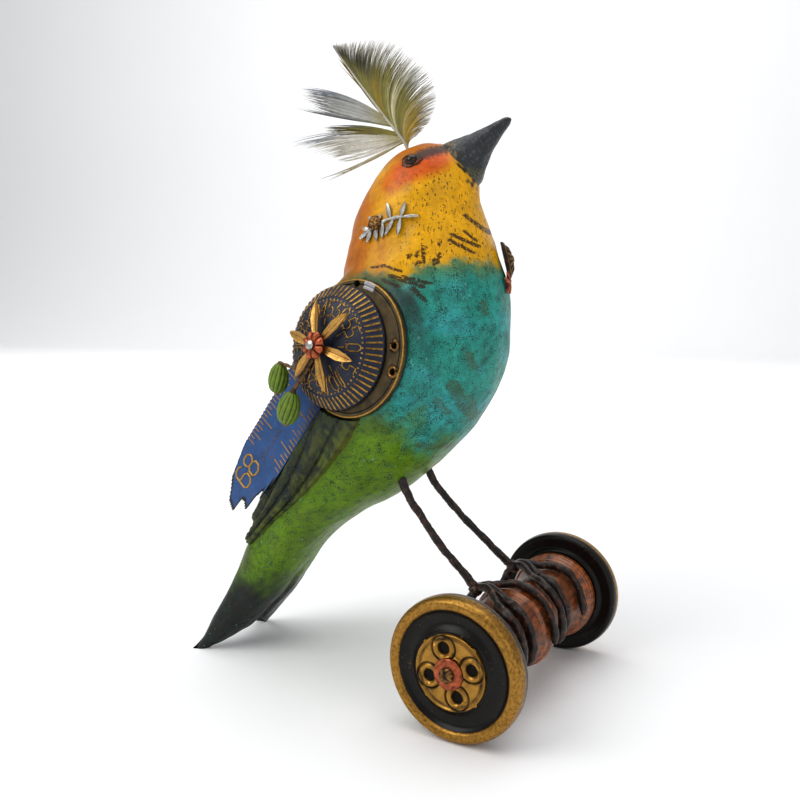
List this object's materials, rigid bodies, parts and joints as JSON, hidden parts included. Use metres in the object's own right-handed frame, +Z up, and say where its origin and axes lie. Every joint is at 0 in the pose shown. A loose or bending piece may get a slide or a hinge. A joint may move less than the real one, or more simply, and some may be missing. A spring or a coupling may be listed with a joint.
{
  "type": "carved bird figure on a wheeled spool",
  "caption": "Carved upright bird with a feather crest, dial and brass flower on each flank, standing on wire legs wrapped over a turned spool with free-running wheels.",
  "frame": {"origin": "on the ground, below the middle of the bounding box", "axes": "+X the way the bird faces, +Y to its left, +Z up; the axle is turned 11 degrees about Z from the Y axis"},
  "size_m": [0.1364, 0.0898, 0.201],
  "materials": {
    "carved_wood_paint": "painted in blended yellow, orange, teal and green, worn, semi-gloss",
    "slate_paint": "rough glossy slate-black paint",
    "quill": "smooth horn, pale",
    "feather_vane": "soft feather barbs, olive and grey",
    "feather_down": "soft downy barbs, cream and blue-grey",
    "eye_bead": "glossy black",
    "wing_paint": "carved, dark green-black paint rubbed with ochre and green",
    "silver": "polished silver with dark recesses",
    "bronze": "dark textured bronze",
    "tape_steel": "blue paint over steel, etched copper-coloured marks",
    "aged_brass": "dark patina, worn gilt edge",
    "dial_enamel": "navy enamel with raised brass ribs and figures",
    "bright_brass": "satin stamped brass",
    "copper": "dark copper",
    "twig": "rough brown twig",
    "seed_pod": "ribbed, matt green",
    "waxed_wire": "lumpy dark red-brown coating over steel wire",
    "turned_wood": "turned, stained, glossy varnish",
    "wheel_paint": "black field, worn gilt rim"
  },
  "bodies": {
    "bird": {"body": "carved_wood_paint", "beak": "slate_paint", "crest_quill": "quill", "crest_fan": "feather_vane", "crest_down": "feather_down", "eye_right": "eye_bead", "wing_right": "wing_paint", "cheek_branch_right": "silver", "cheek_nail_right": "bronze", "tape_strip_right": "tape_steel", "dial_plate_right": "aged_brass", "plate_eyelet_right_1": "bronze", "plate_eyelet_right_2": "bronze", "dial_right": "dial_enamel", "flower_pin_right": "silver", "pod_stem_right": "twig", "pod_right_1": "seed_pod", "pod_right_2": "seed_pod", "leg_right": "waxed_wire", "foot_right": "waxed_wire", "eye_left": "eye_bead", "wing_left": "wing_paint", "cheek_branch_left": "silver", "cheek_nail_left": "bronze", "tape_strip_left": "tape_steel", "dial_plate_left": "aged_brass", "plate_eyelet_left_1": "bronze", "plate_eyelet_left_2": "bronze", "dial_left": "dial_enamel", "flower_pin_left": "silver", "pod_stem_left": "twig", "pod_left_1": "seed_pod", "pod_left_2": "seed_pod", "leg_left": "waxed_wire", "foot_left": "waxed_wire", "breast_button": "bronze", "breast_nail": "bronze", "breast_star": "copper", "spool": "turned_wood", "wheel_washer_right": "copper", "axle_nail_right": "bronze", "wheel_washer_left": "copper", "axle_nail_left": "bronze"},
    "wheel_right": {"wheel_right": "wheel_paint", "wheel_disc_right": "bright_brass"},
    "wheel_left": {"wheel_left": "wheel_paint", "wheel_disc_left": "bright_brass"},
    "flower_right": {"flower_right": "bright_brass", "flower_cap_right": "copper"},
    "flower_left": {"flower_left": "bright_brass", "flower_cap_left": "copper"}
  },
  "joints": [
    {"name": "wheel_right_spin", "type": "hinge", "parent": "bird", "child": "wheel_right", "pos_m": [0.0341, -0.03789, 0.02], "axis": [0.1908, 0.9816, 0], "continuous": true},
    {"name": "wheel_left_spin", "type": "hinge", "parent": "bird", "child": "wheel_left", "pos_m": [0.04847, 0.0366, 0.02], "axis": [0.1908, 0.9816, 0], "continuous": true},
    {"name": "flower_right_spin", "type": "hinge", "parent": "bird", "child": "flower_right", "pos_m": [-0.0116, -0.02709, 0.10554], "axis": [-0.3238, -0.9403, 0.1045], "continuous": true},
    {"name": "flower_left_spin", "type": "hinge", "parent": "bird", "child": "flower_left", "pos_m": [-0.0116, 0.0392, 0.10554], "axis": [-0.3238, 0.9403, 0.1045], "continuous": true}
  ]
}
